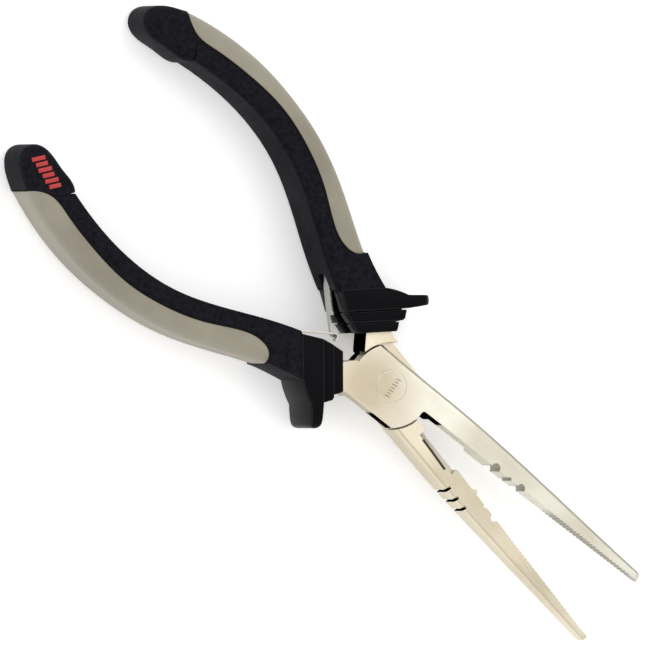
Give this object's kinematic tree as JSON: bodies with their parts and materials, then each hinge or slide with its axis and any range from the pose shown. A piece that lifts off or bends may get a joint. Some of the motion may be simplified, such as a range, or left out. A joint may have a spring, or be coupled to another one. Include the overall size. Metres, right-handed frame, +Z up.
{
  "type": "fishing pliers",
  "caption": "Long-nose fishing pliers with a lapped joint, side cutter, crimping recesses, moulded two-colour grips with finger guards, and leaf springs that hold the handles open.",
  "frame": {"origin": "middle of the tool's length and width at rest, on the surface that it lies on", "axes": "+X from the handle ends to the jaw tips, +Y across the handles towards the back half's handle, +Z up from the surface, along the pivot"},
  "size_m": [0.2098, 0.0758, 0.019],
  "materials": {
    "jaw_steel": "satin nickel",
    "spring_steel": "bright strip",
    "rivet_steel": "satin",
    "grip_black": "fine matt texture",
    "insert_grey": "soft matt",
    "cap_black": "satin",
    "guard_black": "satin",
    "core_plastic": "plain"
  },
  "bodies": {
    "front_half": {"front_jaw_half": "jaw_steel", "front_grip_core": "core_plastic", "front_grip_skin": "grip_black", "front_grip_insert": "insert_grey", "front_end_cap": "cap_black", "front_finger_guard": "guard_black", "front_spring_rivet": "rivet_steel", "pivot_rivet": "rivet_steel"},
    "back_half": {"back_jaw_half": "jaw_steel", "back_grip_core": "core_plastic", "back_grip_skin": "grip_black", "back_grip_insert": "insert_grey", "back_end_cap": "cap_black", "back_finger_guard": "guard_black", "back_spring_rivet": "rivet_steel"},
    "front_leaf": {"front_leaf_spring": "spring_steel"},
    "back_leaf": {"back_leaf_spring": "spring_steel"}
  },
  "joints": [
    {"name": "jaw_pivot", "type": "hinge", "parent": "front_half", "child": "back_half", "pos_m": [0.01597, 0, 0.0095], "axis": [0, 0, 1], "range_deg": [0, 13.2], "stiffness_Nm_per_rad": 2, "springref_deg": -2.86},
    {"name": "front_leaf_flex", "type": "hinge", "parent": "front_half", "child": "front_leaf", "pos_m": [-0.02267, -0.01552, 0.0095], "axis": [0, 0, 1], "range_deg": [-7.8, 0]},
    {"name": "back_leaf_flex", "type": "hinge", "parent": "back_half", "child": "back_leaf", "pos_m": [-0.02267, 0.01552, 0.0095], "axis": [0, 0, 1], "range_deg": [0, 7.8]}
  ],
  "couplings": [
    {"joint": "front_leaf_flex", "follows": "jaw_pivot", "ratio": -0.58761},
    {"joint": "back_leaf_flex", "follows": "jaw_pivot", "ratio": 0.58761}
  ]
}
